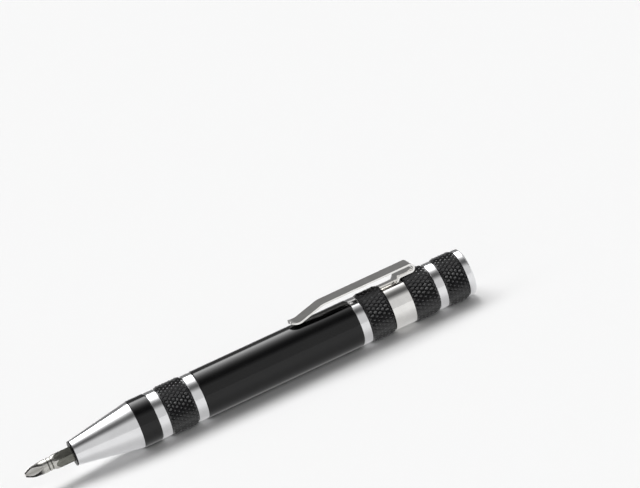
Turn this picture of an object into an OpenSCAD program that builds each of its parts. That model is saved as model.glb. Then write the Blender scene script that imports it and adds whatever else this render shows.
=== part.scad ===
// Pocket screwdriver: a pen-sized aluminium handle with a pocket clip, a magnetic socket for
// hexagon bits in its nose, and spare bits kept in its barrel behind a screwed end cap.
// The axis lies along X with the tip towards -X. The clip is on top, and the knurled sleeves
// rest on Z = 0, midway between the tip and the end of the cap.

/* [Bits] */
// Size of a bit's hexagon across its flats
bit_af = 4; // [3.5:0.1:5]
// Length of a bit
bit_len = 28; // [25:0.5:32]
// Length of the working bit that stands out of the nose
bit_reach = 13.3; // [11:0.1:16]
// Diameter of a bit's turned neck
neck_d = 3.6; // [3:0.1:3.8]
// Length of a bit's shaped tip
tip_len = 5.5; // [5:0.1:7]
// Length of the round neck behind the tip
neck_len = 2.1; // [1.5:0.1:3]
// Length of the cone from the neck to the hexagon
shoulder_len = 1.7; // [0.8:0.1:2.2]
// Chamfer on the hexagon's rear end
bit_chamfer = 0.3; // [0.1:0.05:0.5]

/* [Nose] */
// Length of the nose from its mouth to the front collar
nose_len = 18; // [15:0.5:24]
// Wall of the nose at its mouth
nose_lip = 0.6; // [0.5:0.05:1.2]
// Step from the nose down from the collar behind it
nose_step = 0.05; // [0:0.05:0.3]
// Thickness of the socket's flange on the mouth
flange_t = 0.3; // [0.2:0.05:0.6]
// Wall of the socket at the corners of its hexagon
socket_wall = 0.4; // [0.3:0.05:0.8]
// Floor of the socket behind the magnet
socket_floor = 1; // [0.6:0.1:1.5]
// Length of the magnet
magnet_len = 3; // [2:0.5:4]
// Length of the threaded tail that screws into the barrel
tail_len = 6.5; // [4:0.5:9]

/* [Front grip] */
// Length of the smooth black collar behind the nose
collar_len = 5; // [3:0.1:8]
// Length of the bright ring in front of the finger grip
front_ring_len = 3; // [2:0.1:5]
// Length of the knurled finger grip
finger_grip_len = 7.6; // [5:0.1:14]
// Length of the bright ring between the finger grip and the barrel
grip_ring_len = 3; // [2:0.1:5]

/* [Sleeves] */
// Wall of the barrel's thin rear end, which carries the rear sleeves
tube_wall = 0.55; // [0.4:0.05:1]
// Wall of a smooth sleeve
sleeve_wall = 0.55; // [0.5:0.05:1]
// Height of the knurling above the barrel
knurl_h = 0.2; // [0.1:0.05:0.4]
// Depth of a bright ring below the barrel
ring_inset = 0.05; // [0:0.05:0.2]
// Bevel on the edges of a bright ring
ring_bevel = 0.25; // [0.1:0.05:0.4]
// Bevel on the edges of a black sleeve
sleeve_bevel = 0.15; // [0.05:0.05:0.3]

/* [Rear grip] */
// Length of the bright ring behind the barrel
middle_ring_len = 2.7; // [2:0.1:5]
// Length of the knurled sleeve in front of the clip band
rear_front_grip_len = 6.9; // [4:0.1:12]
// Length of the knurled sleeve behind the clip band
rear_back_grip_len = 7.2; // [6:0.1:12]
// Length of the bright ring nut that locks the rear sleeves
lock_ring_len = 2.6; // [2:0.1:5]

/* [Cap] */
// Length of the cap's knurled sleeve
cap_grip_len = 6.2; // [4:0.1:12]
// Length of the cap's bright end
cap_end_len = 2; // [1.2:0.1:5]
// Bevel around the cap's end face
cap_bevel = 0.4; // [0.2:0.05:0.5]
// Length of the cap's plug inside the barrel
plug_len = 6; // [4:0.5:9]
// Thickness of the cap's rubber seal
seal_d = 0.9; // [0.6:0.05:1.2]
// Pitch of the screw threads
thread_pitch = 1; // [0.5:0.05:1.2]
// Depth of the screw threads
thread_depth = 0.35; // [0.2:0.05:0.5]

/* [Clip] */
// Width of the clip
clip_w = 5; // [3.5:0.1:6]
// Thickness of the clip's sheet steel
clip_t = 0.5; // [0.4:0.05:0.6]
// Length of the band that holds the clip on the barrel
clip_band_len = 6; // [4.5:0.1:8]
// Length of the leaf from the band to the bend
leaf_len = 3.3; // [2.5:0.1:6]
// Radius of the bend from the leaf to the arm, at mid-thickness
bend_r = 1; // [0.8:0.05:1.6]
// Length of the arm's straight run from the bend to the knee
arm_len = 24.7; // [20:0.1:32]
// Radius of the knee where the arm dips to the barrel
knee_r = 6; // [3:0.5:8]
// Slope of the dip in degrees
dip_angle = 15; // [12:1:20]
// Radius of the toe where the arm turns up again
toe_r = 3.5; // [2.5:0.5:5]
// Slope of the upturned toe in degrees
toe_angle = 24; // [10:1:35]
// Length of the toe's straight end
toe_len = 1; // [0.5:0.1:2.5]
// Gap under the toe
toe_gap = 0.4; // [0.1:0.05:0.8]

/* [Bit storage] */
// Wall between two neighbouring pockets of the magazine
pocket_web = 0.6; // [0.4:0.05:1]
// Wall outside a pocket at its thinnest
pocket_wall = 0.2; // [0.15:0.05:0.6]
// Spare length of a pocket for each bit in it
tier_gap = 0.5; // [0.2:0.1:1]
// Room between the magazine and the cap's plug
storage_play = 1.2; // [0.3:0.1:2]

/* [Fits] */
// Radial clearance between pieces that slide into each other
fit = 0.05; // [0.02:0.01:0.1]
// Clearance on each flat of a bit in its socket or pocket
bit_fit = 0.06; // [0.03:0.01:0.1]
// Gap between the closed cap and the handle
cap_gap = 0.05; // [0.02:0.01:0.2]
// Gap between the clip and the pieces that it passes over
clip_gap = 0.1; // [0.05:0.05:0.3]

/* [Hidden] */
// Smoothness of round shapes
$fn = 96;
// Overrun of every cut past the surface that it cuts
overrun = 0.5;
// Pockets around the magazine, and bits one behind the other in each pocket
pocket_columns = 3;
pocket_tiers = 2;
// Turn of the working bit about the axis in degrees
bit_turn = 71;
// Spare bits: name, kind of tip, and the tip's size as a share of the neck's
spare_bits = [
    ["spare_wide_slotted_bit", "slotted", 1],
    ["spare_large_star_bit", "star", 0.8],
    ["spare_medium_cross_bit", "cross", 0.75],
    ["spare_narrow_slotted_bit", "slotted", 0.65],
    ["spare_small_star_bit", "star", 0.6],
    ["spare_small_cross_bit", "cross", 0.5],
];
spare_names = [for (bit = spare_bits) bit[0]];

// Radii of a bit, its socket and the magazine's pockets
neck_r = neck_d / 2;
bit_corner_r = bit_af / 2 / cos(30);
hole_corner_r = (bit_af / 2 + bit_fit) / cos(30);
socket_r = hole_corner_r + socket_wall;
nose_bore_r = socket_r + fit;
nose_mouth_r = nose_bore_r + nose_lip;
pocket_pitch_r = (bit_af + 2 * bit_fit + pocket_web) / 2 / sin(180 / pocket_columns);
magazine_r = pocket_pitch_r + hole_corner_r + pocket_wall;

// Radii of the handle, from the barrel's bore outwards
bore_r = magazine_r + fit;
plug_r = bore_r - fit;
core_r = bore_r + tube_wall;
sleeve_bore_r = core_r + fit;
barrel_r = sleeve_bore_r + sleeve_wall;
ring_r = barrel_r - ring_inset;
nose_base_r = barrel_r - nose_step;
grip_r = barrel_r + knurl_h;
seal_r = plug_r - seal_d / 2;

// Stations along the axis, measured from the working bit's tip
mouth_at = bit_reach;
nose_at = mouth_at + flange_t;
magnet_at = bit_len;
socket_floor_at = magnet_at + magnet_len;
socket_end_at = socket_floor_at + socket_floor;
collar_at = mouth_at + nose_len;
front_ring_at = collar_at + collar_len;
finger_grip_at = front_ring_at + front_ring_len;
grip_ring_at = finger_grip_at + finger_grip_len;
barrel_at = grip_ring_at + grip_ring_len;
tail_end_at = max(barrel_at + tail_len, socket_end_at + fit + socket_floor);
pocket_len = bit_len + tier_gap;
magazine_len = pocket_tiers * pocket_len;
plug_at = tail_end_at + magazine_len + storage_play;
barrel_end_at = plug_at + plug_len;
lock_ring_at = barrel_end_at - lock_ring_len;
rear_back_grip_at = lock_ring_at - rear_back_grip_len;
clip_band_at = rear_back_grip_at - clip_band_len;
rear_front_grip_at = clip_band_at - rear_front_grip_len;
middle_ring_at = rear_front_grip_at - middle_ring_len;
cap_at = barrel_end_at + cap_gap;
cap_end_at = cap_at + cap_grip_len;
overall_len = cap_end_at + cap_end_len;
seal_at = barrel_end_at - seal_d;

// Heights of the clip above the axis, at mid-thickness, and its stations
leaf_r = grip_r + clip_gap + clip_t / 2;
arm_r = leaf_r + 2 * bend_r;
toe_low_r = barrel_r + toe_gap + clip_t / 2;
bend_at = rear_back_grip_at + leaf_len;
knee_at = bend_at - arm_len;
dip_drop = arm_r - toe_low_r - (knee_r + toe_r) * (1 - cos(dip_angle));
toe_low_at = knee_at - (knee_r + toe_r) * sin(dip_angle) - dip_drop / tan(dip_angle);
toe_end_at = toe_low_at - toe_r * sin(toe_angle) - toe_len * cos(toe_angle);
// Outside of the band, and the bevel on its edges as a share of the sheet's thickness
band_r = sleeve_bore_r + clip_t;
band_bevel_share = 0.2;
// Where the leaf leaves the band and where it runs level, as shares of the band's length
leaf_rise_shares = [0.7, 1];
// Depth of the leaf's start in the band, as a share of the sheet's thickness
leaf_sink_share = 0.4;

// Ridges of a screw thread: [share of the depth, share of the pitch]
ridge_shares = [[0, 0.05], [1, 0.4], [1, 0.6], [0, 0.95]];
// Cross tip: end face and flute root as shares of its radius, cone and flutes as shares of its length
cross_end_share = 0.33;
cross_root_share = 0.2;
cross_cone_share = 0.33;
cross_flute_share = 0.94;
// Slotted tip: blade thickness as a share of its width, land as a share of the tip's length
slot_blade_share = 0.2;
slot_land_share = 0.15;
// Star tip: length as a share of the whole tip's, groove radius and place as shares of its radius
star_len_share = 0.45;
star_groove_share = 0.3;
star_pitch_share = 1.08;
// Grooves turned into the neck: places as shares of the neck's length, depth of its radius
neck_groove_shares = [[0.3, 0.48], [0.78, 0.96]];
neck_groove_depth_share = 0.1;

// Outline of a ring with bevelled outer edges, as [radius, station] points
function ring_outline(inner_r, outer_r, at, length, bevel) = [
    [inner_r, at],
    [outer_r - bevel, at],
    [outer_r, at + bevel],
    [outer_r, at + length - bevel],
    [outer_r - bevel, at + length],
    [inner_r, at + length],
];

// Outline of a threaded stretch
function thread_outline(crest_r, at, turns) = [
    for (turn = [0 : turns - 1], share = ridge_shares)
        [crest_r - thread_depth * (1 - share[0]), at + (turn + share[1]) * thread_pitch]
];

// Points along an arc
function arc(centre, r, from_angle, to_angle, steps) = [
    for (step = [0 : steps])
        let (angle = from_angle + (to_angle - from_angle) * step / steps)
            centre + r * [cos(angle), sin(angle)]
];

// Sideways vector that keeps a strip even in thickness at one point of its path
function mitre(path, i) =
    let (
        last = len(path) - 1,
        before = path[max(i, 1)] - path[max(i, 1) - 1],
        after = path[min(i, last - 1) + 1] - path[min(i, last - 1)],
        side_before = [-before.y, before.x] / norm(before),
        side_after = [-after.y, after.x] / norm(after)
    )
    (side_before + side_after) / (1 + side_before * side_after);

// Outline of a strip of sheet that follows a path
function strip_outline(path, thickness) = concat(
    [for (i = [0 : len(path) - 1]) path[i] + mitre(path, i) * thickness / 2],
    [for (i = [len(path) - 1 : -1 : 0]) path[i] - mitre(path, i) * thickness / 2]
);

// Lays a piece that was drawn along Z, with the clip's side towards +X, down along X
module lay_down() {
    translate([-overall_len / 2, 0, grip_r])
        rotate([0, 90, 0])
            rotate([0, 0, 180])
                children();
}

// A piece turned about the axis
module turned(outline) {
    rotate_extrude() polygon(outline);
}

// A strip of sheet across the axis, from a path of [height, station] points
module strip(path, width) {
    rotate([90, 0, 0])
        linear_extrude(height = width, center = true)
            polygon(strip_outline(path, clip_t));
}

// A bright ring or black sleeve on the core
module sleeve(outer_r, at, length, bevel) {
    lay_down() turned(ring_outline(sleeve_bore_r, outer_r, at, length, bevel));
}

// A bit from its tip at Z = 0, before its tip is shaped
module bit_blank(tip_outline) {
    wide_r = bit_corner_r + overrun;
    shoulder_at = tip_len + neck_len;
    shoulder_slope = shoulder_len / (bit_corner_r - neck_r);
    groove_r = neck_r * (1 - neck_groove_depth_share);
    grooves = [
        for (groove = neck_groove_shares)
            each [
                [neck_r, tip_len + groove[0] * neck_len],
                [groove_r, tip_len + groove[0] * neck_len],
                [groove_r, tip_len + groove[1] * neck_len],
                [neck_r, tip_len + groove[1] * neck_len],
            ]
    ];
    intersection() {
        cylinder(h = bit_len, r = bit_corner_r, $fn = 6);
        turned(concat([[0, 0]], tip_outline, grooves, [
            [neck_r, shoulder_at],
            [wide_r, shoulder_at + shoulder_slope * (wide_r - neck_r)],
            [wide_r, bit_len - bit_chamfer - overrun],
            [bit_corner_r - bit_chamfer, bit_len],
            [0, bit_len],
        ]));
    }
}

// A bit with a cross tip: four flutes, each with its root rising to the surface
module cross_bit(tip_share) {
    tip_r = tip_share * neck_r;
    root_r = cross_root_share * tip_r;
    flute_tilt = atan((tip_r - root_r) / (cross_flute_share * tip_len));
    flute_len = tip_len / cos(flute_tilt);
    difference() {
        bit_blank([
            [cross_end_share * tip_r, 0],
            [tip_r, cross_cone_share * tip_share * tip_len],
            [neck_r, tip_len],
        ]);
        for (quarter = [0 : 3])
            rotate([0, 0, 90 * quarter])
                translate([root_r, 0, 0])
                    rotate([0, flute_tilt, 0])
                        rotate([0, 0, -45])
                            translate([0, 0, -overrun])
                                cube([2 * neck_r, 2 * neck_r, flute_len + overrun]);
    }
}

// A bit with a flat blade
module slotted_bit(tip_share) {
    tip_r = tip_share * neck_r;
    blade_t = slot_blade_share * 2 * tip_r;
    land_at = slot_land_share * tip_len;
    difference() {
        bit_blank([[tip_r, 0], [tip_r, tip_len / 2], [neck_r, tip_len]]);
        for (side = [0, 1])
            rotate([90, 0, 180 * side])
                linear_extrude(height = 4 * neck_r, center = true)
                    polygon([
                        [blade_t / 2, -overrun],
                        [blade_t / 2, land_at],
                        [neck_r, tip_len],
                        [neck_r + overrun, tip_len],
                        [neck_r + overrun, -overrun],
                    ]);
    }
}

// A bit with a six-lobed tip
module star_bit(tip_share) {
    tip_r = tip_share * neck_r;
    star_len = star_len_share * tip_len;
    difference() {
        bit_blank([[tip_r, 0], [tip_r, star_len], [neck_r, tip_len]]);
        for (lobe = [0 : 5])
            rotate([0, 0, 60 * lobe])
                translate([star_pitch_share * tip_r, 0, -overrun])
                    cylinder(h = star_len + overrun, r = star_groove_share * tip_r);
    }
}

// The bit at work in the nose
module driver_bit() {
    color("dimgray") lay_down() rotate([0, 0, bit_turn]) cross_bit(1);
}

// Hexagon socket with a flange that covers the mouth of the nose
module bit_socket() {
    color("darkslategray") lay_down() difference() {
        turned([
            [0, mouth_at],
            [nose_mouth_r, mouth_at],
            [nose_mouth_r, nose_at],
            [socket_r, nose_at],
            [socket_r, socket_end_at],
            [0, socket_end_at],
        ]);
        rotate([0, 0, bit_turn])
            translate([0, 0, mouth_at - overrun])
                cylinder(h = socket_floor_at - mouth_at + overrun, r = hole_corner_r, $fn = 6);
    }
}

// Magnet on the floor of the socket, behind the bit
module socket_magnet() {
    color("gainsboro") lay_down()
        translate([0, 0, magnet_at])
            cylinder(h = magnet_len, r = bit_af / 2);
}

// Nose: a cone with a core behind it that carries the front sleeves, and a threaded tail
module nose_cone() {
    tail_turns = floor((tail_end_at - barrel_at) / thread_pitch);
    color("silver") lay_down()
        turned(concat([
            [nose_bore_r, nose_at],
            [nose_mouth_r, nose_at],
            [nose_base_r, collar_at],
            [core_r, collar_at],
            [core_r, barrel_at],
            [plug_r - thread_depth, barrel_at],
        ], thread_outline(plug_r, barrel_at, tail_turns), [
            [plug_r - thread_depth, tail_end_at],
            [0, tail_end_at],
            [0, socket_end_at + fit],
            [nose_bore_r, socket_end_at + fit],
        ]));
}

module front_collar() {
    color("black") sleeve(barrel_r, collar_at, collar_len, sleeve_bevel);
}

module front_ring() {
    color("silver") sleeve(ring_r, front_ring_at, front_ring_len, ring_bevel);
}

module finger_grip() {
    color("black") sleeve(grip_r, finger_grip_at, finger_grip_len, knurl_h);
}

module grip_ring() {
    color("silver") sleeve(ring_r, grip_ring_at, grip_ring_len, ring_bevel);
}

// Barrel: a bored tube whose rear end is turned down to carry the rear sleeves
module barrel() {
    color("black") lay_down()
        turned([
            [bore_r, barrel_at],
            [barrel_r - sleeve_bevel, barrel_at],
            [barrel_r, barrel_at + sleeve_bevel],
            [barrel_r, middle_ring_at - sleeve_bevel],
            [barrel_r - sleeve_bevel, middle_ring_at],
            [core_r, middle_ring_at],
            [core_r, barrel_end_at],
            [bore_r, barrel_end_at],
        ]);
}

module middle_ring() {
    color("silver") sleeve(ring_r, middle_ring_at, middle_ring_len, ring_bevel);
}

module rear_front_grip() {
    color("black") sleeve(grip_r, rear_front_grip_at, rear_front_grip_len, knurl_h);
}

// Band around the barrel, and the leaf that runs back from it to the clip's bend
module clip_band() {
    rise = [for (share = leaf_rise_shares) clip_band_at + share * clip_band_len];
    color("lightgray") lay_down() {
        turned(ring_outline(sleeve_bore_r, band_r, clip_band_at, clip_band_len, band_bevel_share * clip_t));
        strip([
            [band_r - leaf_sink_share * clip_t, rise[0]],
            [leaf_r, rise[1]],
            [leaf_r, bend_at - clip_t / 2 - clip_gap],
        ], clip_w);
    }
}

// Sprung arm: the bend, the straight run, the dip to the barrel and the upturned round toe
module clip_arm() {
    toe_arc = arc([toe_low_r + toe_r, toe_low_at], toe_r, 180 - dip_angle, 180 + toe_angle, 12);
    arm_path = concat(
        arc([leaf_r + bend_r, bend_at], bend_r, 180, 0, 16),
        arc([arm_r - knee_r, knee_at], knee_r, 0, -dip_angle, 8),
        toe_arc,
        [toe_arc[len(toe_arc) - 1] + toe_len * [sin(toe_angle), -cos(toe_angle)]]
    );
    arm_end_at = bend_at + bend_r + clip_t;
    toe_centre_at = toe_end_at + clip_w / 2;
    color("lightgray") lay_down() {
        intersection() {
            strip(arm_path, clip_w + 2 * overrun);
            rotate([0, -90, 0])
                linear_extrude(height = 4 * arm_r, center = true) {
                    translate([toe_centre_at, 0]) circle(d = clip_w);
                    translate([toe_centre_at, -clip_w / 2])
                        square([arm_end_at - toe_centre_at, clip_w]);
                }
        }
        translate([leaf_r, 0, bend_at])
            rotate([90, 0, 0])
                cylinder(h = clip_w, d = clip_t, center = true);
    }
}

module rear_back_grip() {
    color("black") sleeve(grip_r, rear_back_grip_at, rear_back_grip_len, knurl_h);
}

// Ring nut on the end of the barrel, which holds the rear sleeves and the clip band
module lock_ring() {
    color("silver") sleeve(ring_r, lock_ring_at, lock_ring_len, ring_bevel);
}

// Knurled sleeve on the cap's plug
module cap_grip() {
    color("black") lay_down()
        turned(ring_outline(bore_r, grip_r, cap_at, cap_grip_len, knurl_h));
}

// Cap's end and the plug that screws into the barrel, with a groove for the seal
module cap_plug() {
    groove = seal_d / 2 + fit;
    groove_r = seal_r - groove;
    plug_turns = floor((seal_at - groove - plug_at) / thread_pitch);
    color("silver") lay_down()
        turned(concat(
            [[0, plug_at], [plug_r - thread_depth, plug_at]],
            thread_outline(plug_r, plug_at, plug_turns),
            [
                [plug_r, seal_at - groove],
                [groove_r, seal_at - groove],
                [groove_r, seal_at + groove],
                [plug_r, seal_at + groove],
                [plug_r, cap_end_at],
                [ring_r, cap_end_at],
                [ring_r, overall_len - cap_bevel],
                [ring_r - cap_bevel, overall_len],
                [0, overall_len],
            ]
        ));
}

// Rubber ring in the plug's groove
module cap_seal() {
    color("black") lay_down()
        rotate_extrude()
            translate([seal_r, seal_at])
                circle(d = seal_d);
}

// Moulded magazine with hexagon pockets around the axis
module bit_magazine() {
    color("darkgray") lay_down()
        translate([0, 0, tail_end_at])
            linear_extrude(height = magazine_len)
                difference() {
                    circle(r = magazine_r);
                    for (column = [0 : pocket_columns - 1])
                        rotate(column * 360 / pocket_columns)
                            translate([pocket_pitch_r, 0])
                                circle(r = hole_corner_r, $fn = 6);
                }
}

// A spare bit in its pocket, with its tip towards the cap
module spare_bit(index) {
    column = index % pocket_columns;
    tier = floor(index / pocket_columns);
    tip_at = tail_end_at + (tier + 1) * pocket_len - tier_gap / 2;
    kind = spare_bits[index][1];
    tip_share = spare_bits[index][2];
    color("slategray") lay_down()
        rotate([0, 0, column * 360 / pocket_columns])
            translate([pocket_pitch_r, 0, tip_at])
                rotate([180, 0, 0]) {
                    if (kind == "cross") cross_bit(tip_share);
                    if (kind == "slotted") slotted_bit(tip_share);
                    if (kind == "star") star_bit(tip_share);
                }
}

driver_bit();
bit_socket();
socket_magnet();
nose_cone();
front_collar();
front_ring();
finger_grip();
grip_ring();
barrel();
middle_ring();
rear_front_grip();
clip_band();
clip_arm();
rear_back_grip();
lock_ring();
cap_grip();
cap_plug();
cap_seal();
bit_magazine();
for (index = [0 : len(spare_bits) - 1])
    spare_bit(index);
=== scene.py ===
import math

import bmesh
import bpy
from mathutils import Matrix, Vector


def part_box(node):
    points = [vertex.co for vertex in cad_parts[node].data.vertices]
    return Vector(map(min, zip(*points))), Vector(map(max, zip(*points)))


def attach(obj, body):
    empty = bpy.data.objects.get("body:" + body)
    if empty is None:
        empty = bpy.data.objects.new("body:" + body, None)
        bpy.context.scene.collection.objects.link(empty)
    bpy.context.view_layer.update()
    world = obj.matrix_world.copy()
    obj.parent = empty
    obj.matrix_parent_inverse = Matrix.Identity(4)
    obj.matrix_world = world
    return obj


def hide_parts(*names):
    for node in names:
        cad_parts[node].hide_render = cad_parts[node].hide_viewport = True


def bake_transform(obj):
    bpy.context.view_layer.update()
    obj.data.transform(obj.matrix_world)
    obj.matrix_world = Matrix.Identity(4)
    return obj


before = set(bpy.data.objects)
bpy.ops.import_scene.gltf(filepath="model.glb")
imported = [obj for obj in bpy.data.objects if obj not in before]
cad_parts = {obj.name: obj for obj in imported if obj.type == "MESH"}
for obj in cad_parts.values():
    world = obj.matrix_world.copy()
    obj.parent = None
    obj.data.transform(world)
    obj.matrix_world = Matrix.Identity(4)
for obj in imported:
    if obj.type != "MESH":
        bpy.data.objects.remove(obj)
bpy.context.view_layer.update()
mm = 0.001

# Nose: turned from aluminium bar and polished. Its cone ends in a thin lip around the bit socket,
# and behind the cone a core carries the front sleeves and ends in the thread for the barrel.
axis_z = sum(corner.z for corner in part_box("barrel")) / 2
lip_x, tail_x = [corner.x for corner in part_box("nose_cone")]
cone_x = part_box("front_collar")[0].x
seat_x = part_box("barrel")[0].x
lip_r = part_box("bit_socket")[1].z - axis_z
cone_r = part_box("nose_cone")[1].z - axis_z
core_r = 5.9 * mm
play = 0.05 * mm
socket_bore_r = 2.83 * mm
socket_bore_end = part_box("bit_socket")[1].x + play
lip_rounding = 0.15 * mm
cone_rounding = 0.22 * mm
thread_r = 5.3 * mm
thread_depth = 0.35 * mm
thread_pitch = 1 * mm
thread_rows = 12
thread_ridge_half = 0.45
thread_flank = 0.35
turn_steps = 192
round_segments = 4
smooth_limit = math.radians(40)
same_place = 0.005 * mm
weld_reach = same_place / 10
noise_low, noise_high = 0.3, 0.7
noise_detail = 3


def turn_outline(outline, steps=turn_steps):
    """Turns a closed outline of (station, radius, rounding) points about the axis."""
    shape = bmesh.new()
    corners = [shape.verts.new((x, 0, axis_z + r)) for x, r, rounding in outline]
    shape.faces.new(corners)
    for corner, (x, r, rounding) in zip(corners, outline):
        if rounding:
            bmesh.ops.bevel(
                shape, geom=[corner], offset=rounding, affect="VERTICES",
                segments=round_segments, profile=0.5, material=-1,
            )
    bmesh.ops.delete(shape, geom=shape.faces[:], context="FACES_ONLY")
    bmesh.ops.spin(
        shape, geom=shape.verts[:] + shape.edges[:], cent=(0, 0, axis_z), axis=(1, 0, 0),
        angle=math.tau, steps=steps, use_merge=True,
    )
    bmesh.ops.remove_doubles(shape, verts=shape.verts[:], dist=weld_reach)
    loose = [edge for edge in shape.edges if not edge.link_faces]
    bmesh.ops.delete(shape, geom=loose, context="EDGES")
    bmesh.ops.recalc_face_normals(shape, faces=shape.faces[:])
    return shape


def thread_stretch(start, end):
    """Outline points of a stretch with rows close enough to be threaded."""
    rows = round((end - start) / thread_pitch * thread_rows)
    return [(start + (end - start) * row / rows, thread_r, 0) for row in range(rows + 1)]


def cut_thread(shape, start, end):
    """Sinks a right-hand thread into a turned stretch, with a run-out at each end."""
    for vert in shape.verts:
        across = Vector((vert.co.y, vert.co.z - axis_z))
        along = min(vert.co.x - start, end - vert.co.x)
        if along > -same_place and abs(across.length - thread_r) < same_place:
            turn = math.atan2(across.y, across.x) / math.tau
            place = ((vert.co.x - start) / thread_pitch - turn) % 1
            ridge = min(max((thread_ridge_half - abs(place - 0.5)) / thread_flank, 0), 1)
            run_out = min(max(along / thread_pitch, 0), 1)
            across *= 1 - thread_depth / thread_r * (1 - ridge * run_out)
            vert.co.y, vert.co.z = across.x, axis_z + across.y


def add_piece(name, shape, finish, nodes, body=None):
    """Makes a shape a smooth-shaded piece that stands for its CAD nodes and rides on a body."""
    for edge in shape.edges:
        edge.smooth = edge.calc_face_angle(0) < smooth_limit
    for face in shape.faces:
        face.smooth = True
    mesh = bpy.data.meshes.new(name)
    shape.to_mesh(mesh)
    shape.free()
    mesh.materials.append(finish)
    piece = bpy.data.objects.new(name, mesh)
    bpy.context.scene.collection.objects.link(piece)
    if body:
        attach(piece, body)
    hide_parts(*nodes)
    return piece


def even_normals(piece):
    """Lets the large faces of a piece set its shading, so that its roundings stay crisp."""
    modifier = piece.modifiers.new("even_normals", "WEIGHTED_NORMAL")
    modifier.keep_sharp = True


def fill(finish, socket, value):
    """Links a socket of a finish to an output, or sets it to a value."""
    if isinstance(value, bpy.types.NodeSocket):
        finish.node_tree.links.new(value, socket)
    else:
        socket.default_value = value


def add_node(finish, kind, **inputs):
    """Adds a node to a finish, with each input set to a value or linked to an output."""
    node = finish.node_tree.nodes.new(kind)
    for name, value in inputs.items():
        fill(finish, node.inputs[name.replace("_", " ")], value)
    return node


def set_shader(finish, **inputs):
    """Sets inputs of a finish's shader to values, or links them to outputs."""
    shader = finish.node_tree.nodes["Principled BSDF"]
    for name, value in inputs.items():
        fill(finish, shader.inputs[name.replace("_", " ")], value)


def new_finish(name, **constants):
    """A finish whose constant values sit on the shader's own sockets."""
    finish = bpy.data.materials.new(name)
    finish.use_nodes = True
    set_shader(finish, **constants)
    return finish


def grain(finish, size, stretch=(1, 1, 1)):
    """Noise fixed to the piece, with features of a size in metres that a stretch draws out."""
    place = add_node(finish, "ShaderNodeTexCoord")
    shares = [1 / (size * factor) for factor in stretch]
    mapping = add_node(finish, "ShaderNodeMapping", Vector=place.outputs["Object"], Scale=shares)
    noise = add_node(
        finish, "ShaderNodeTexNoise", Vector=mapping.outputs["Vector"], Scale=1, Detail=noise_detail
    )
    return noise.outputs["Fac"]


def tones(finish, share, *stops):
    """Colour that follows a share through (place, colour) stops."""
    ramp = add_node(finish, "ShaderNodeValToRGB", Fac=share)
    elements = ramp.color_ramp.elements
    while len(elements) < len(stops):
        elements.new(1)
    for element, (place, colour) in zip(elements, stops):
        element.position = place
        element.color = (*colour, 1)
    return ramp.outputs["Color"]


def shades(finish, noise, dark, light):
    """Colour from dark to light over the middle of a noise."""
    return tones(finish, noise, (noise_low, dark), (noise_high, light))


def spread(finish, noise, low, high):
    """Values from low to high over the middle of a noise."""
    node = add_node(
        finish, "ShaderNodeMapRange", Value=noise, From_Min=noise_low, From_Max=noise_high,
        To_Min=low, To_Max=high,
    )
    return node.outputs["Result"]


def relief(finish, height, depth):
    """Fine relief with a depth in metres."""
    node = add_node(finish, "ShaderNodeBump", Height=height, Distance=depth, Strength=1)
    return node.outputs["Normal"]


turned_aluminium = new_finish("turned_aluminium", Metallic=1.0)
polish = grain(turned_aluminium, 6 * mm)
set_shader(
    turned_aluminium,
    Base_Color=shades(turned_aluminium, polish, (0.76, 0.76, 0.77), (0.84, 0.84, 0.85)),
    Roughness=spread(turned_aluminium, polish, 0.12, 0.2),
    Normal=relief(turned_aluminium, grain(turned_aluminium, 0.12 * mm, (1, 60, 60)), 0.0015 * mm),
)

nose_shape = turn_outline([
    (lip_x, socket_bore_r, 0),
    (lip_x, lip_r, lip_rounding),
    (cone_x, cone_r, cone_rounding),
    (cone_x, core_r, 0),
    (seat_x, core_r, 0),
    *thread_stretch(seat_x, tail_x),
    (tail_x, 0, 0),
    (socket_bore_end, 0, 0),
    (socket_bore_end, socket_bore_r, 0),
])
cut_thread(nose_shape, seat_x, tail_x)
nose = add_piece(
    "turned_nose", nose_shape, turned_aluminium, ["nose_cone"], "handle"
)
even_normals(nose)

# Bit socket: a blackened steel bush with a hexagon hole, pressed into the nose up to its flange.
# A nickel-plated magnet sits on its floor behind the bit.
flange_x, socket_end = [corner.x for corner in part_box("bit_socket")]
socket_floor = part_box("socket_magnet")[1].x
socket_r = 2.78 * mm
socket_flat_r = 2.06 * mm
flange_rounding = 0.12 * mm
flat_count = 6
half_flat = math.pi / flat_count
hexagon_turn = math.radians(71)
overrun = 0.5 * mm


def hexagon_bar(start, end, flat_r):
    """A hexagon bar along the axis, with its corners where the bit has them."""
    shape = bmesh.new()
    place = Matrix.Translation(((start + end) / 2, 0, axis_z))
    turn = Matrix.Rotation(hexagon_turn, 4, "X") @ Matrix.Rotation(math.radians(-90), 4, "Y")
    corner_r = flat_r / math.cos(half_flat)
    bmesh.ops.create_cone(
        shape, cap_ends=True, segments=flat_count, radius1=corner_r, radius2=corner_r,
        depth=end - start, matrix=place @ turn,
    )
    return shape


def cut_away(shape, cutter):
    """Cuts one closed shape out of another and returns what is left."""
    made = []
    for part in (shape, cutter):
        mesh = bpy.data.meshes.new("cut")
        part.to_mesh(mesh)
        part.free()
        made.append(bpy.data.objects.new("cut", mesh))
        bpy.context.scene.collection.objects.link(made[-1])
    blank, tool = made
    modifier = blank.modifiers.new("cut", "BOOLEAN")
    modifier.object = tool
    bpy.context.view_layer.update()
    left = bmesh.new()
    left.from_object(blank, bpy.context.evaluated_depsgraph_get())
    for part in made:
        bpy.data.meshes.remove(part.data)
    return left


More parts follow.
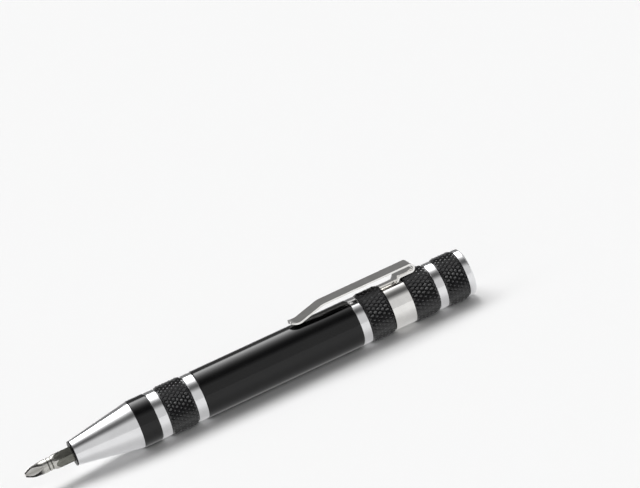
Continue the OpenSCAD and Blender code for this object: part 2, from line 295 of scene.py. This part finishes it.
blackened_steel = new_finish("blackened_steel", Metallic=1.0)
blacking = grain(blackened_steel, 0.7 * mm)
set_shader(
    blackened_steel,
    Base_Color=shades(blackened_steel, blacking, (0.008, 0.008, 0.009), (0.022, 0.022, 0.023)),
    Roughness=spread(blackened_steel, blacking, 0.3, 0.5),
    Normal=relief(blackened_steel, grain(blackened_steel, 0.1 * mm), 0.004 * mm),
)
socket_blank = turn_outline([
    (flange_x, 0, 0),
    (flange_x, lip_r, flange_rounding),
    (lip_x, lip_r, 0),
    (lip_x, socket_r, 0),
    (socket_end, socket_r, flange_rounding),
    (socket_end, 0, 0),
])
socket = add_piece(
    "flanged_socket",
    cut_away(socket_blank, hexagon_bar(flange_x - overrun, socket_floor, socket_flat_r)),
    blackened_steel, ["bit_socket"], "handle",
)
even_normals(socket)

nickel_plate = new_finish("nickel_plate", Metallic=1.0)
plating = grain(nickel_plate, 1.1 * mm)
set_shader(
    nickel_plate,
    Base_Color=shades(nickel_plate, plating, (0.66, 0.64, 0.60), (0.76, 0.74, 0.70)),
    Roughness=spread(nickel_plate, plating, 0.15, 0.3),
)
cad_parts["socket_magnet"].material_slots[0].material = nickel_plate

# Front collar and barrel: turned aluminium, anodised black with a satin gloss. The collar slides
# on the nose's core. The barrel screws on behind it, and its thin rear end carries the rear sleeves.
collar_x, collar_end = [corner.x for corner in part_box("front_collar")]
barrel_x, barrel_end = [corner.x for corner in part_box("barrel")]
shoulder_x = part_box("middle_ring")[0].x
barrel_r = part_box("barrel")[1].z - axis_z
sleeve_bore_r = 5.95 * mm
barrel_bore_r = 5.35 * mm
black_bevel = 0.15 * mm
black_rounding = 0.06 * mm

black_anodising = new_finish("black_anodising", IOR=1.42)
dye = grain(black_anodising, 5 * mm)
set_shader(
    black_anodising,
    Base_Color=shades(black_anodising, dye, (0.002, 0.002, 0.0023), (0.004, 0.004, 0.0043)),
    Roughness=spread(black_anodising, dye, 0.09, 0.15),
    Normal=relief(black_anodising, grain(black_anodising, 0.12 * mm, (1, 60, 60)), 0.001 * mm),
)


def bevelled_sleeve(start, end, bore_r, outer_r, bevel, rounding):
    """Outline of a sleeve with bevelled outer edges."""
    return [
        (start, bore_r, 0),
        (start, outer_r - bevel, rounding),
        (start + bevel, outer_r, rounding),
        (end - bevel, outer_r, rounding),
        (end, outer_r - bevel, rounding),
        (end, bore_r, 0),
    ]


collar_outline = bevelled_sleeve(
    collar_x, collar_end, sleeve_bore_r, barrel_r, black_bevel, black_rounding
)
collar = add_piece(
    "black_collar", turn_outline(collar_outline), black_anodising,
    ["front_collar"], "handle",
)
even_normals(collar)
tube_outline = bevelled_sleeve(
    barrel_x, shoulder_x, barrel_bore_r, barrel_r, black_bevel, black_rounding
)
barrel_outline = [
    *tube_outline[:-1],
    (shoulder_x, core_r, 0),
    (barrel_end, core_r, 0),
    (barrel_end, barrel_bore_r, 0),
]
barrel = add_piece(
    "black_barrel", turn_outline(barrel_outline), black_anodising,
    ["barrel"], "handle",
)
even_normals(barrel)

# Bright rings: bare aluminium with broad bevels, turned and polished. Two sit on the nose's core and
# two on the barrel's rear end, where the last one is the nut that locks the sleeves.
ring_bevel = 0.25 * mm
ring_rounding = 0.1 * mm
for node in ("front_ring", "grip_ring", "middle_ring", "lock_ring"):
    low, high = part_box(node)
    ring_outline = bevelled_sleeve(
        low.x, high.x, sleeve_bore_r, high.z - axis_z, ring_bevel, ring_rounding
    )
    ring = add_piece(
        "bright_" + node, turn_outline(ring_outline), turned_aluminium,
        [node], "handle",
    )
    even_normals(ring)

# Knurled sleeves: aluminium with a diamond knurl rolled into it, then anodised black. One is the
# finger grip, two clamp the clip's band between them, and one is pressed on the end cap.
knurl_count = 34
knurl_pitch = 2 * mm
knurl_depth = 0.38 * mm
knurl_flank = 0.38 * mm
end_depth = 0.22 * mm
end_flank = 0.2 * mm
knurl_edge = 0.2 * mm
knurl_crest_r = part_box("finger_grip")[1].z - axis_z


def calculate(finish, operation, *values, kind="ShaderNodeMath"):
    """The result of an operation on outputs or numbers."""
    node = finish.node_tree.nodes.new(kind)
    node.operation = operation
    for socket, value in zip(node.inputs, values):
        fill(finish, socket, value)
    return node.outputs["Value"]


knurled_black = new_finish("knurled_black", IOR=1.6)
knurl_place = add_node(knurled_black, "ShaderNodeTexCoord").outputs["Object"]
from_axis = add_node(
    knurled_black, "ShaderNodeMapping", Vector=knurl_place, Location=(0, 0, -axis_z), Scale=(0, 1, 1)
)
knurl_r = calculate(
    knurled_black, "LENGTH", from_axis.outputs["Vector"], kind="ShaderNodeVectorMath"
)
# Colour by height on the knurl: the crests are lighter, partly worn anodising and partly a painted
# glint, and the roots are darker as painted shade in the grooves.
knurl_wear_glint_and_groove_shade = add_node(
    knurled_black, "ShaderNodeMapRange", Value=knurl_r,
    From_Min=knurl_crest_r - knurl_depth, From_Max=knurl_crest_r,
).outputs["Result"]
set_shader(
    knurled_black,
    Base_Color=tones(
        knurled_black, knurl_wear_glint_and_groove_shade, (0.0, (0.005, 0.005, 0.006)), (0.75, (0.009, 0.009, 0.01)),
        (1.0, (0.07, 0.07, 0.072)),
    ),
    Roughness=spread(knurled_black, grain(knurled_black, 1.2 * mm), 0.19, 0.3),
)


def roll_knurl(shape, root_r):
    """Rolls diamonds into the faces at the root of the knurl, and lower half ones at its ends."""
    rows = {
        face for face in shape.faces
        if all(abs(math.hypot(v.co.y, v.co.z - axis_z) - root_r) < same_place for v in face.verts)
    }
    crossed = [edge for edge in shape.edges if all(face in rows for face in edge.link_faces)]
    middles = set(bmesh.ops.poke(shape, faces=list(rows))["verts"])
    bmesh.ops.dissolve_edges(shape, edges=crossed)
    for corner_count, flank, depth in ((4, knurl_flank, knurl_depth), (3, end_flank, end_depth)):
        diamonds = [
            face for face in shape.faces
            if len(face.verts) == corner_count and any(vert in middles for vert in face.verts)
        ]
        bmesh.ops.inset_individual(
            shape, faces=diamonds, thickness=flank, depth=depth, use_even_offset=True
        )


for node, body, bore_r in (
    ("finger_grip", "handle", sleeve_bore_r),
    ("rear_front_grip", "handle", sleeve_bore_r),
    ("rear_back_grip", "handle", sleeve_bore_r),
    ("cap_grip", "cap", barrel_bore_r),
):
    low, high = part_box(node)
    root_r = high.z - axis_z - knurl_depth
    start, end = low.x + knurl_edge, high.x - knurl_edge
    row_count = round((end - start) / knurl_pitch)
    grip_shape = turn_outline([
        (low.x, bore_r, 0),
        (low.x, root_r - knurl_edge, 0),
        *[(start + (end - start) * row / row_count, root_r, 0) for row in range(row_count + 1)],
        (high.x, root_r - knurl_edge, 0),
        (high.x, bore_r, 0),
    ], knurl_count)
    roll_knurl(grip_shape, root_r)
    add_piece("knurled_" + node, grip_shape, knurled_black, [node], body)

# Pocket clip: one strip of sheet steel, polished and plated. Its band is clamped between two knurled
# sleeves. A tongue rises from the band, folds back over itself and runs forward as the sprung arm.
sheet_t = 0.5 * mm
clip_w = 5 * mm
band_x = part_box("clip_band")[0].x
band_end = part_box("rear_back_grip")[0].x
band_r = sleeve_bore_r + sheet_t / 2
tongue_rise_shares = (0.7, 1)
tongue_sink = 0.03 * mm
leaf_gap = 0.1 * mm
toe_gap = 0.4 * mm
leaf_h = knurl_crest_r + leaf_gap + sheet_t / 2
arm_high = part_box("clip_arm")[1]
arm_h = arm_high.z - axis_z - sheet_t / 2
toe_h = barrel_r + toe_gap + sheet_t / 2
bend_r = (arm_h - leaf_h) / 2
bend_x = arm_high.x - bend_r - sheet_t / 2
arm_run = 24.7 * mm
knee_r = 6 * mm
dip = math.radians(15)
toe_r = 3.5 * mm
toe_slope = math.radians(24)
toe_end_len = 1 * mm
strip_columns = 8
tongue_steps, bend_steps, knee_steps, toe_steps, toe_end_steps = 12, 24, 12, 16, 12
sheet_rounding = 0.12 * mm
sheet_round_segments = 3
sheet_edge_angle = math.radians(60)


def arc(centre_x, centre_h, r, first, last, steps):
    """Points of (station, height) along an arc, with angles from straight up towards the cap."""
    angles = [first + (last - first) * step / steps for step in range(steps + 1)]
    return [(centre_x + r * math.sin(a), centre_h + r * math.cos(a)) for a in angles]


def smooth_step(share):
    """A share of 0 to 1 eased at both ends."""
    share = min(max(share, 0), 1)
    return share * share * (3 - 2 * share)


tongue_x, level_x = [band_x + share * (band_end - band_x) for share in tongue_rise_shares]
knee_x = bend_x - arm_run
dip_drop = arm_h - toe_h - (knee_r + toe_r) * (1 - math.cos(dip))
toe_x = knee_x - (knee_r + toe_r) * math.sin(dip) - dip_drop / math.tan(dip)
toe_arc = arc(toe_x, toe_h + toe_r, toe_r, math.pi - dip, math.pi + toe_slope, toe_steps)
toe_end = Vector(toe_arc[-1]) + toe_end_len * Vector((-math.cos(toe_slope), math.sin(toe_slope)))
clip_path = [
    *[
        (tongue_x + (level_x - tongue_x) * step / tongue_steps, leaf_h)
        for step in range(tongue_steps + 1)
    ],
    *arc(bend_x, leaf_h + bend_r, bend_r, math.pi, 0, bend_steps),
    *arc(knee_x, arm_h - knee_r, knee_r, 0, -dip, knee_steps),
    *toe_arc,
    *[
        tuple(Vector(toe_arc[-1]).lerp(toe_end, math.sin(math.pi / 2 * step / toe_end_steps)))
        for step in range(1, toe_end_steps + 1)
    ],
]
toe_centre_x = toe_end.x + clip_w / 2

clip_shape = bmesh.new()
bmesh.ops.create_grid(
    clip_shape, x_segments=len(clip_path) - 1, y_segments=strip_columns, size=1
)
for vert in clip_shape.verts:
    row = round((vert.co.x + 1) / 2 * (len(clip_path) - 1))
    x, h = clip_path[row]
    past_round = max(toe_centre_x - x, 0) / (clip_w / 2)
    y = vert.co.y * clip_w / 2 * math.sqrt(max(1 - past_round ** 2, 0))
    if row <= tongue_steps:
        on_band = math.sqrt((band_r - tongue_sink) ** 2 - y ** 2)
        h = on_band + (leaf_h - on_band) * smooth_step((x - tongue_x) / (level_x - tongue_x))
    vert.co = (x, y, axis_z + h)
band_line = [clip_shape.verts.new((x, 0, axis_z + band_r)) for x in (band_x, band_end)]
band_edge = clip_shape.edges.new(band_line)
bmesh.ops.spin(
    clip_shape, geom=band_line + [band_edge], cent=(0, 0, axis_z), axis=(1, 0, 0),
    angle=math.tau, steps=turn_steps, use_merge=True,
)
bmesh.ops.remove_doubles(clip_shape, verts=clip_shape.verts[:], dist=weld_reach)
bmesh.ops.recalc_face_normals(clip_shape, faces=clip_shape.faces[:])

clip_plate = new_finish("clip_plate", Metallic=1.0)
buffing = grain(clip_plate, 2.5 * mm)
set_shader(
    clip_plate,
    Base_Color=shades(clip_plate, buffing, (0.78, 0.77, 0.75), (0.86, 0.85, 0.83)),
    Roughness=spread(clip_plate, buffing, 0.06, 0.13),
    Normal=relief(clip_plate, grain(clip_plate, 0.15 * mm, (40, 1, 1)), 0.001 * mm),
)
clip = add_piece("pocket_clip", clip_shape, clip_plate, ["clip_band", "clip_arm"])
thickness = clip.modifiers.new("sheet", "SOLIDIFY")
thickness.thickness = sheet_t
thickness.offset = 0
thickness.use_even_offset = True
rounding = clip.modifiers.new("edges", "BEVEL")
rounding.width = sheet_rounding
rounding.segments = sheet_round_segments
rounding.limit_method = "ANGLE"
rounding.angle_limit = sheet_edge_angle
even_normals(clip)
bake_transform(clip)

# Spare bits and their magazine: six bits of hardened steel, left dark and oiled. They lie one behind
# the other in the three hexagon pockets of a moulded nylon magazine that fills the barrel.
moulded_nylon = new_finish("moulded_nylon", IOR=1.53)
moulding = grain(moulded_nylon, 1.5 * mm)
set_shader(
    moulded_nylon,
    Base_Color=shades(moulded_nylon, moulding, (0.085, 0.085, 0.088), (0.115, 0.115, 0.118)),
    Roughness=spread(moulded_nylon, moulding, 0.45, 0.6),
    Normal=relief(moulded_nylon, grain(moulded_nylon, 0.15 * mm), 0.01 * mm),
)
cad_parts["bit_magazine"].material_slots[0].material = moulded_nylon

bar_steel = new_finish("bar_steel", Metallic=1.0)
oiling = grain(bar_steel, 0.9 * mm, (3, 1, 1))
set_shader(
    bar_steel,
    Base_Color=shades(bar_steel, oiling, (0.13, 0.13, 0.115), (0.22, 0.22, 0.195)),
    Roughness=spread(bar_steel, oiling, 0.2, 0.32),
    Normal=relief(bar_steel, grain(bar_steel, 0.08 * mm, (6, 1, 1)), 0.002 * mm),
)
for node, spare_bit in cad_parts.items():
    if node.startswith("spare_"):
        spare_bit.material_slots[0].material = bar_steel

# End cap: a turned aluminium plug with a bright end, a thread for the barrel and a groove that holds
# a rubber ring. The knurled sleeve behind the thread is pressed on it.
plug_x, cap_end = [corner.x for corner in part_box("cap_plug")]
bright_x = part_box("cap_grip")[1].x
cap_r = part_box("front_ring")[1].z - axis_z
seal_low, seal_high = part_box("cap_seal")
seal_wire_r = (seal_high.x - seal_low.x) / 2
seal_x = (seal_low.x + seal_high.x) / 2
seal_r = seal_high.z - axis_z - seal_wire_r
groove_half = seal_wire_r + play
cap_bevel = 0.4 * mm
cap_rounding = 0.15 * mm
seal_steps = 24
cap_shape = turn_outline([
    (plug_x, 0, 0),
    *thread_stretch(plug_x, seal_x - groove_half),
    (seal_x - groove_half, seal_r - groove_half, 0),
    (seal_x + groove_half, seal_r - groove_half, 0),
    (seal_x + groove_half, thread_r, 0),
    (bright_x, thread_r, 0),
    (bright_x, cap_r, cone_rounding),
    (cap_end - cap_bevel, cap_r, cap_rounding),
    (cap_end, cap_r - cap_bevel, cap_rounding),
    (cap_end, 0, 0),
])
cut_thread(cap_shape, plug_x, seal_x - groove_half)
cap = add_piece(
    "screw_cap", cap_shape, turned_aluminium, ["cap_plug"], "cap"
)
even_normals(cap)

seal_rubber = new_finish("seal_rubber", IOR=1.52)
bloom = grain(seal_rubber, 0.6 * mm)
set_shader(
    seal_rubber,
    Base_Color=shades(seal_rubber, bloom, (0.014, 0.014, 0.014), (0.028, 0.028, 0.027)),
    Roughness=spread(seal_rubber, bloom, 0.45, 0.65),
)
seal_section = arc(seal_x, seal_r, seal_wire_r, 0, math.tau, seal_steps)[:-1]
seal_outline = [(x, h, 0) for x, h in seal_section]
add_piece("rubber_seal", turn_outline(seal_outline), seal_rubber, ["cap_seal"], "seal")

# Working bit: a 4 mm hexagon bit of hardened steel, held in the socket by the magnet. Its neck is
# turned bright, and the floors of its two grooves get the dark hexagon finish as painted shade. Four
# flutes are ground into its tip with a wheel, and the lands between them keep a dark oxide that fades
# towards the neck.
tip_x, bit_end = [corner.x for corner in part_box("driver_bit")]
bit_flat_r = 2 * mm
bit_corner_r = bit_flat_r / math.cos(half_flat)
neck_r = 1.8 * mm
tip_face_r = 0.6 * mm
tip_cone_len = 1.8 * mm
tip_len = 5.5 * mm
neck_len = 2.1 * mm
neck_groove_shares = ((0.3, 0.48), (0.78, 0.96))
neck_groove_depth = 0.18 * mm
bit_shoulder_len = 1.7 * mm
bit_chamfer = 0.3 * mm
bit_steps = 96
flute_count = 4
wheel_r = 9 * mm
wheel_edge = 3 * mm
wheel_steps = 160
flute_low_at = 0.6 * mm
flute_low_h = 0.38 * mm
oxide_fade = (3.8 * mm, 5 * mm)
land_slope = 0.78
flat_lean = 0.01

turned_steel = new_finish("turned_steel", Metallic=1.0)
turning = grain(turned_steel, 0.6 * mm)
set_shader(
    turned_steel,
    Base_Color=shades(turned_steel, turning, (0.5, 0.49, 0.46), (0.62, 0.61, 0.58)),
    Roughness=spread(turned_steel, turning, 0.12, 0.2),
    Normal=relief(turned_steel, grain(turned_steel, 0.06 * mm, (1, 20, 20)), 0.0015 * mm),
)

ground_steel = new_finish("ground_steel", Metallic=1.0)
grinding = grain(ground_steel, 0.1 * mm, (1, 6, 6))
set_shader(
    ground_steel,
    Base_Color=shades(ground_steel, grinding, (0.7, 0.69, 0.67), (0.82, 0.81, 0.79)),
    Roughness=spread(ground_steel, grinding, 0.5, 0.62),
)

tip_oxide = new_finish("tip_oxide", Metallic=1.0)
oxide_place = add_node(tip_oxide, "ShaderNodeTexCoord").outputs["Object"]
oxide_share = add_node(
    tip_oxide, "ShaderNodeMapRange",
    Value=add_node(tip_oxide, "ShaderNodeSeparateXYZ", Vector=oxide_place).outputs["X"],
    From_Min=tip_x + oxide_fade[0], From_Max=tip_x + oxide_fade[1],
).outputs["Result"]
set_shader(
    tip_oxide,
    Base_Color=tones(tip_oxide, oxide_share, (0.0, (0.03, 0.029, 0.028)), (1.0, (0.56, 0.55, 0.52))),
    Roughness=spread(tip_oxide, grain(tip_oxide, 0.6 * mm), 0.2, 0.32),
)

neck_x = tip_x + tip_len
hexagon_x = neck_x + neck_len
neck_grooves = []
for groove in neck_groove_shares:
    start, end = [neck_x + share * neck_len for share in groove]
    neck_grooves += [
        (start, neck_r, 0),
        (start, neck_r - neck_groove_depth, 0),
        (end, neck_r - neck_groove_depth, 0),
        (end, neck_r, 0),
    ]
bit_shape = turn_outline([
    (tip_x, 0, 0),
    (tip_x, tip_face_r, 0),
    (tip_x + tip_cone_len, neck_r, tip_face_r),
    (neck_x, neck_r, 0),
    *neck_grooves,
    (hexagon_x, neck_r, 0),
    (hexagon_x + bit_shoulder_len, bit_corner_r, 0),
    (bit_end - bit_chamfer, bit_corner_r, 0),
    (bit_end, bit_corner_r - bit_chamfer, 0),
    (bit_end, 0, 0),
], bit_steps)
for flat in range(flat_count):
    turn = hexagon_turn + (2 * flat + 1) * half_flat
    outwards = Vector((0, -math.sin(turn), math.cos(turn)))
    cut = bmesh.ops.bisect_plane(
        bit_shape, geom=bit_shape.verts[:] + bit_shape.edges[:] + bit_shape.faces[:],
        plane_co=Vector((0, 0, axis_z)) + bit_flat_r * outwards, plane_no=outwards, clear_outer=True,
    )["geom_cut"]
    rim = [made for made in cut if isinstance(made, bmesh.types.BMEdge)]
    bmesh.ops.contextual_create(bit_shape, geom=rim)
wheels = bmesh.new()
for flute in range(flute_count):
    turn = hexagon_turn + math.tau * flute / flute_count
    outwards = Vector((0, -math.sin(turn), math.cos(turn)))
    sideways = Vector((0, math.cos(turn), math.sin(turn)))
    hub = Vector((tip_x + flute_low_at, 0, axis_z)) + (flute_low_h + wheel_r) * outwards
    edge_point = hub - wheel_r * outwards
    section = [
        wheels.verts.new(edge_point),
        wheels.verts.new(edge_point + wheel_edge * (outwards + sideways)),
        wheels.verts.new(edge_point + wheel_edge * (outwards - sideways)),
    ]
    section += [wheels.edges.new((section[i], section[(i + 1) % 3])) for i in range(3)]
    bmesh.ops.spin(
        wheels, geom=section, cent=hub, axis=sideways, angle=math.tau, steps=wheel_steps,
        use_merge=True,
    )
bmesh.ops.remove_doubles(wheels, verts=wheels.verts[:], dist=weld_reach)
bmesh.ops.recalc_face_normals(wheels, faces=wheels.faces[:])
bmesh.ops.recalc_face_normals(bit_shape, faces=bit_shape.faces[:])
bit_shape = cut_away(bit_shape, wheels)
bit_finishes = [turned_steel, bar_steel, tip_oxide, ground_steel]
for face in bit_shape.faces:
    middle = face.calc_center_median() - Vector((0, 0, axis_z))
    radial = Vector((0, middle.y, middle.z)).normalized()
    off_flat = abs(face.normal.dot(middle) - bit_flat_r)
    on_flat = abs(face.normal.x) < flat_lean and off_flat < same_place
    on_neck = neck_x < middle.x < hexagon_x
    in_groove_painted_shade = on_neck and middle.yz.length < neck_r - neck_groove_depth / 2
    # The hexagon's flats keep the dark bar finish of their own; the groove floors get it as painted
    # shade.
    if on_flat or in_groove_painted_shade:
        face.material_index = bit_finishes.index(bar_steel)
    elif middle.x < neck_x and face.normal.dot(radial) > land_slope:
        face.material_index = bit_finishes.index(tip_oxide)
    elif middle.x < neck_x:
        face.material_index = bit_finishes.index(ground_steel)
bit = add_piece("working_bit", bit_shape, bit_finishes[0], ["driver_bit"], "bit")
for finish in bit_finishes[1:]:
    bit.data.materials.append(finish)
even_normals(bit)

# Floor, light and camera: a white floor that reflections see with half of its shadow, a soft sky, and
# a long lamp over the far side. The camera stands where the photograph was taken, which sees the
# clip's edge and the nose turned towards it.
floor_size = 20
floor_white = (0.86, 0.86, 0.86, 1)
reflected_level = 0.95
reflected_share = 0.5
floor_shape = bmesh.new()
bmesh.ops.create_grid(floor_shape, x_segments=1, y_segments=1, size=floor_size)
floor_mesh = bpy.data.meshes.new("floor")
floor_shape.to_mesh(floor_mesh)
floor_shape.free()
floor = bpy.data.objects.new("floor", floor_mesh)
bpy.context.scene.collection.objects.link(floor)
white_floor = new_finish("white_floor", Base_Color=floor_white, Roughness=0.9)
reflected_white = add_node(white_floor, "ShaderNodeEmission", Strength=reflected_level)
in_reflection = add_node(white_floor, "ShaderNodeLightPath").outputs["Is Glossy Ray"]
reflected_part = add_node(
    white_floor, "ShaderNodeMapRange", Value=in_reflection, To_Max=reflected_share
).outputs["Result"]
floor_look = add_node(white_floor, "ShaderNodeMixShader", Fac=reflected_part)
floor_nodes = white_floor.node_tree.nodes
fill(white_floor, floor_look.inputs[1], floor_nodes["Principled BSDF"].outputs["BSDF"])
fill(white_floor, floor_look.inputs[2], reflected_white.outputs["Emission"])
fill(white_floor, floor_nodes["Material Output"].inputs["Surface"], floor_look.outputs["Shader"])
floor_mesh.materials.append(white_floor)

sky_strength = 0.7
sky_stops = (
    (0.0, 1.0), (0.222, 1.0), (0.278, 0.5), (0.328, 0.18),
    (0.806, 0.18), (0.833, 0.3), (0.944, 0.3), (1.0, 0.55),
)
lamp_strength = 6
lamp_end_share = 0.22
lamp_reach = (0.3, 0.5)
lamp_stops = (
    (0.378, 0.0), (0.422, 0.015), (0.478, 0.08), (0.55, 0.28), (0.633, 0.7),
    (0.689, 1.0), (0.744, 1.0), (0.772, 0.12), (0.806, 0.0),
)
world = bpy.data.worlds.new("studio")
bpy.context.scene.world = world
world.use_nodes = True
direction = add_node(world, "ShaderNodeTexCoord").outputs["Generated"]
parts = add_node(world, "ShaderNodeSeparateXYZ", Vector=direction).outputs
angle = calculate(world, "ARCTAN2", parts["Z"], calculate(world, "MULTIPLY", parts["Y"], -1))
half_turns = calculate(world, "DIVIDE", angle, math.pi)
lamp_level = add_node(
    world, "ShaderNodeMapRange", Value=calculate(world, "ABSOLUTE", parts["X"]),
    From_Min=lamp_reach[0], From_Max=lamp_reach[1],
    To_Min=lamp_strength, To_Max=lamp_strength * lamp_end_share,
).outputs["Result"]
sky_tones, lamp_tones = [
    tones(world, half_turns, *[(place, (level,) * 3) for place, level in stops])
    for stops in (sky_stops, lamp_stops)
]
sky = world.node_tree.nodes["Background"]
fill(world, sky.inputs["Color"], sky_tones)
fill(world, sky.inputs["Strength"], sky_strength)
lamp = add_node(world, "ShaderNodeBackground", Color=lamp_tones, Strength=lamp_level)
light = add_node(world, "ShaderNodeAddShader")
fill(world, light.inputs[0], sky.outputs["Background"])
fill(world, light.inputs[1], lamp.outputs["Background"])
fill(world, world.node_tree.nodes["World Output"].inputs["Surface"], light.outputs["Shader"])

photo_w, photo_h = 640, 488
photo_focal = 3500
anchor_pixel = Vector((354.5, 322.4))
anchor_x = 31.1 * mm
anchor_distance = 919 * mm
axis_slope = math.radians(24.6)
nose_turn = math.radians(13)
clip_turn = math.radians(19)
sensor_w = 36
camera_data = bpy.data.cameras.new("camera")
camera_data.sensor_width = sensor_w
camera_data.lens = sensor_w * photo_focal / photo_w
camera = bpy.data.objects.new("camera", camera_data)
bpy.context.scene.collection.objects.link(camera)
facing = Matrix(((1, 0, 0), (0, 0, 1), (0, -1, 0)))
turned = (
    Matrix.Rotation(axis_slope, 3, "Z") @ Matrix.Rotation(nose_turn, 3, "Y")
    @ Matrix.Rotation(clip_turn, 3, "X") @ facing
)
anchor_seen = anchor_distance * Vector((
    (anchor_pixel.x - photo_w / 2) / photo_focal,
    (photo_h / 2 - anchor_pixel.y) / photo_focal,
    -1,
))
anchor = Vector((anchor_x, 0, axis_z))
place = anchor - turned.transposed() @ anchor_seen
camera.matrix_world = Matrix.Translation(place) @ turned.transposed().to_4x4()
bpy.context.scene.camera = camera
bpy.context.scene.view_settings.view_transform = "Standard"
